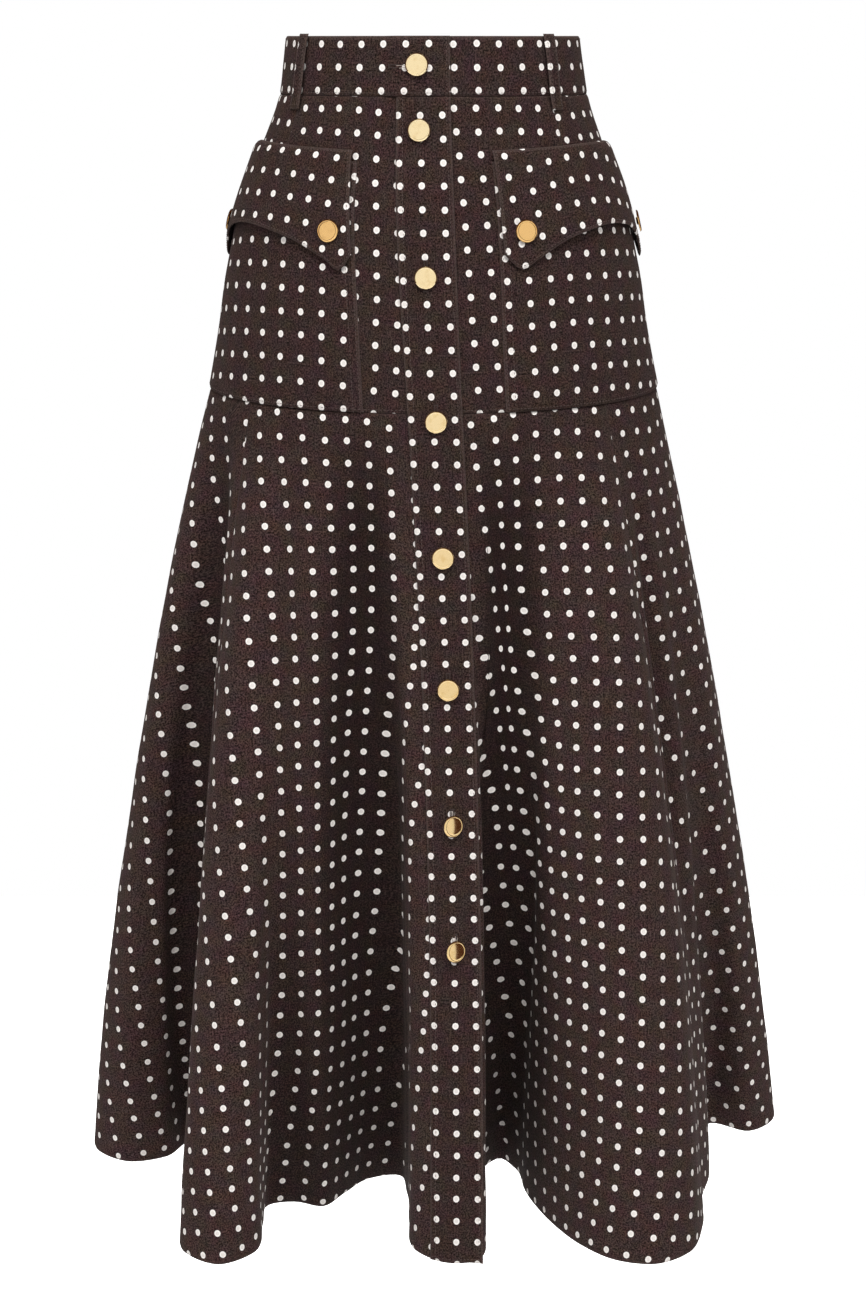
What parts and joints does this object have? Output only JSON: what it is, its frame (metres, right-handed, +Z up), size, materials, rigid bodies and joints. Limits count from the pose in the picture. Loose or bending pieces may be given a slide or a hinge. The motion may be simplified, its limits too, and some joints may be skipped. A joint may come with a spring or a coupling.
{
  "type": "cargo midi skirt",
  "caption": "Flared midi skirt with a contour waistband, fitted yoke, buttoned placket, flapped patch pockets and deep hem folds, in dark cloth with a pale dot print, open at waist and hem.",
  "frame": {"origin": "centre of the waist, halfway up the waistband", "axes": "+Z up towards the waist's opening, -Y the way the front faces, +X to the right of someone who looks at the front"},
  "size_m": [0.6205, 0.421, 0.9697],
  "materials": {
    "cloth": "matte plain weave, dark brown with off-white dots",
    "brass": "polished"
  },
  "bodies": {
    "root": {"belt_loop_back": "cloth", "belt_loop_back_left": "cloth", "belt_loop_back_right": "cloth", "belt_loop_front_left": "cloth", "belt_loop_front_right": "cloth", "button_1": "brass", "button_2": "brass", "button_3": "brass", "button_4": "brass", "button_5": "brass", "button_6": "brass", "button_7": "brass", "button_8": "brass", "flap_button_left_back": "brass", "flap_button_left_front": "brass", "flap_button_right_back": "brass", "flap_button_right_front": "brass", "flap_left": "cloth", "flap_right": "cloth", "placket_overlap": "cloth", "placket_underlap": "cloth", "pocket_left": "cloth", "pocket_right": "cloth", "skirt_back_left": "cloth", "skirt_back_right": "cloth", "skirt_front_left": "cloth", "skirt_front_right": "cloth", "skirt_side_left": "cloth", "skirt_side_right": "cloth", "waistband": "cloth", "yoke_back_left": "cloth", "yoke_back_right": "cloth", "yoke_front_left": "cloth", "yoke_front_right": "cloth", "yoke_side_left": "cloth", "yoke_side_right": "cloth"}
  },
  "joints": []
}
